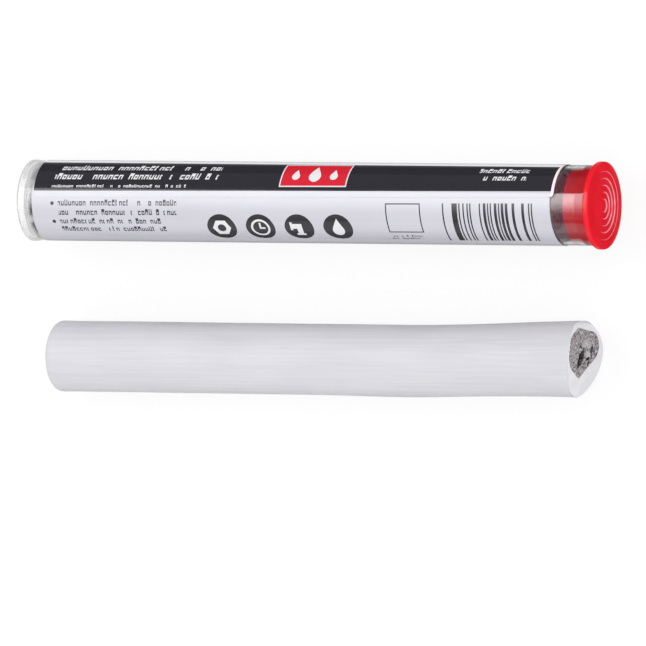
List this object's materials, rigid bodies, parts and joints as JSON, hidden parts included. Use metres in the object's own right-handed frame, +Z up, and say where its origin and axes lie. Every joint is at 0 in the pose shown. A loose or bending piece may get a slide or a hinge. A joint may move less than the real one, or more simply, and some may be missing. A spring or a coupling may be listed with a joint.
{
  "type": "epoxy putty stick",
  "caption": "Epoxy putty stick in a clear labelled tube with a push-in cap, shown with a loose film-wrapped stick whose cut end bares its resin skin and hardener core.",
  "frame": {"origin": "middle of the set's footprint, on the surface that the tube and the loose stick lie on", "axes": "+X along the tube towards its cap, +Y from the loose stick to the tube, +Z up"},
  "size_m": [0.1944, 0.074, 0.0272],
  "materials": {
    "clear_plastic": "clear moulded plastic, glossy",
    "label": "printed film label, silvery white with a charcoal band, semi-gloss",
    "cap_plastic": "translucent red moulded polythene, satin",
    "film": "thin milky wrapping film",
    "resin": "off-white epoxy resin putty",
    "core": "dark grey granular hardener putty"
  },
  "bodies": {
    "tube": {"clear_tube": "clear_plastic", "tube_label": "label"},
    "cap": {"end_cap": "cap_plastic"},
    "packed_stick": {"packed_stick_film": "film", "packed_stick_resin": "resin", "packed_stick_core": "core"},
    "loose_stick": {"loose_stick_film": "film", "loose_stick_resin": "resin", "loose_stick_core": "core"}
  },
  "joints": [
    {"name": "stick_draw", "type": "slide", "parent": "tube", "child": "packed_stick", "axis": [1, 0, 0.0047], "range_m": [0, 0.19]},
    {"name": "cap_pull", "type": "slide", "parent": "tube", "child": "cap", "axis": [1, 0, 0.0047], "range_m": [0, 0.2]},
    {"name": "loose_stick_slide", "type": "slide", "parent": "tube", "child": "loose_stick", "axis": [0, -1, 0], "range_m": [0, 0.1]}
  ],
  "couplings": [
    {"joint": "cap_pull", "follows": "stick_draw", "ratio": 1.05}
  ]
}
